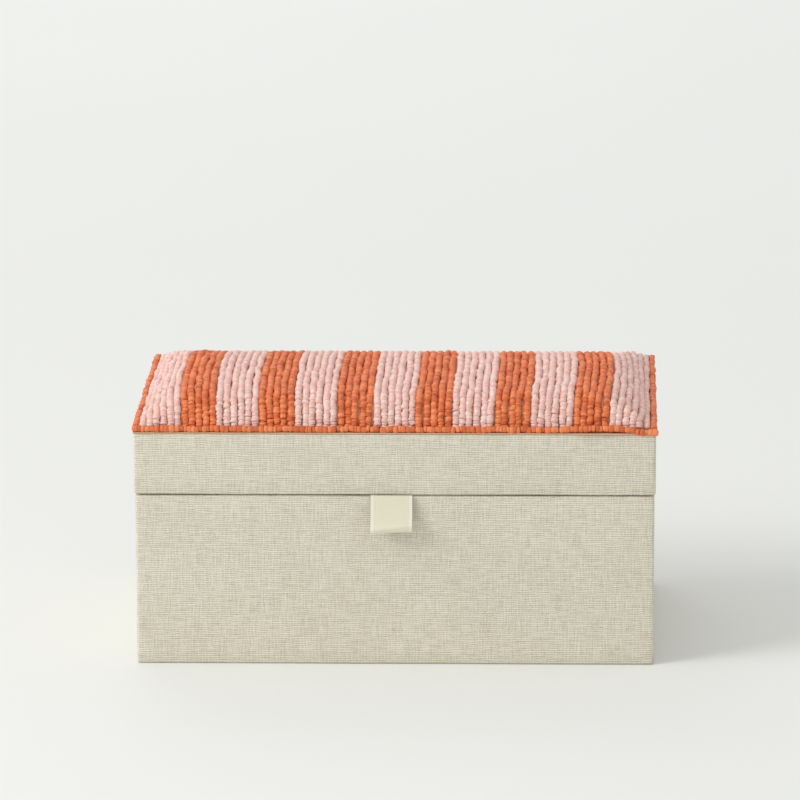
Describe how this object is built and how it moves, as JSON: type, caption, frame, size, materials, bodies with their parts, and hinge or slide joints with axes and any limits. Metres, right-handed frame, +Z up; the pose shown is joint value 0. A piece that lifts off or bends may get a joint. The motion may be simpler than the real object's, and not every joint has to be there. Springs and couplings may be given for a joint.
{
  "type": "hinged cloth-covered keepsake box with beaded lid",
  "caption": "Rectangular board box covered in linen, with a hinged lid that carries a crowned pad of striped beading, a cloth hinge and a ribbon pull loop.",
  "frame": {"origin": "middle of the underside, on the surface that the box stands on", "axes": "+Z up; +X to the right as seen from the front, along the box's long side; -Y the front, where the ribbon pull is; +Y the back, where the hinge is"},
  "size_m": [0.202, 0.1377, 0.1055],
  "materials": {
    "greyboard": "matte",
    "oatmeal_linen": "matte",
    "lining_cotton": "matte",
    "bottom_cloth": "matte",
    "pad_filling": "matte",
    "bead_ground_cloth": "matte",
    "pink_beads": "satin",
    "orange_beads": "satin",
    "ivory_ribbon": "satin"
  },
  "bodies": {
    "base": {"base_bottom_panel": "bottom_cloth", "base_cover_cloth": "oatmeal_linen", "base_front_board": "greyboard", "base_back_board": "greyboard", "base_left_board": "greyboard", "base_right_board": "greyboard", "base_floor_board": "greyboard", "base_floor_lining": "lining_cotton", "base_front_lining": "lining_cotton", "base_back_lining": "lining_cotton", "base_left_lining": "lining_cotton", "base_right_lining": "lining_cotton", "hinge_outer_base_leaf": "oatmeal_linen", "hinge_outer_fold": "oatmeal_linen", "hinge_inner_base_leaf": "lining_cotton", "hinge_inner_fold": "lining_cotton"},
    "lid": {"lid_cover_cloth": "oatmeal_linen", "lid_front_board": "greyboard", "lid_back_board": "greyboard", "lid_left_board": "greyboard", "lid_right_board": "greyboard", "lid_top_board": "greyboard", "lid_top_lining": "lining_cotton", "lid_front_lining": "lining_cotton", "lid_back_lining": "lining_cotton", "lid_left_lining": "lining_cotton", "lid_right_lining": "lining_cotton", "hinge_outer_lid_leaf": "oatmeal_linen", "hinge_inner_lid_leaf": "lining_cotton", "foam_pad": "pad_filling", "bead_cloth": "bead_ground_cloth", "pink_stripe_1": "pink_beads", "pink_stripe_2": "pink_beads", "pink_stripe_3": "pink_beads", "pink_stripe_4": "pink_beads", "pink_stripe_5": "pink_beads", "pink_stripe_6": "pink_beads", "pink_stripe_7": "pink_beads", "orange_stripe_1": "orange_beads", "orange_stripe_2": "orange_beads", "orange_stripe_3": "orange_beads", "orange_stripe_4": "orange_beads", "orange_stripe_5": "orange_beads", "orange_stripe_6": "orange_beads", "border_front": "orange_beads", "border_back": "orange_beads", "border_left": "orange_beads", "border_right": "orange_beads", "ribbon_glued_end": "ivory_ribbon"},
    "pull_tab": {"ribbon_loop": "ivory_ribbon"}
  },
  "joints": [
    {"name": "lid_hinge", "type": "hinge", "parent": "base", "child": "lid", "pos_m": [0, 0.06525, 0.06725], "axis": [-1, 0, 0], "range_deg": [0, 110]},
    {"name": "pull_tab_swing", "type": "hinge", "parent": "lid", "child": "pull_tab", "pos_m": [-0.0016, -0.06635, 0.0673], "axis": [-1, 0, 0], "range_deg": [-18, 100]}
  ]
}
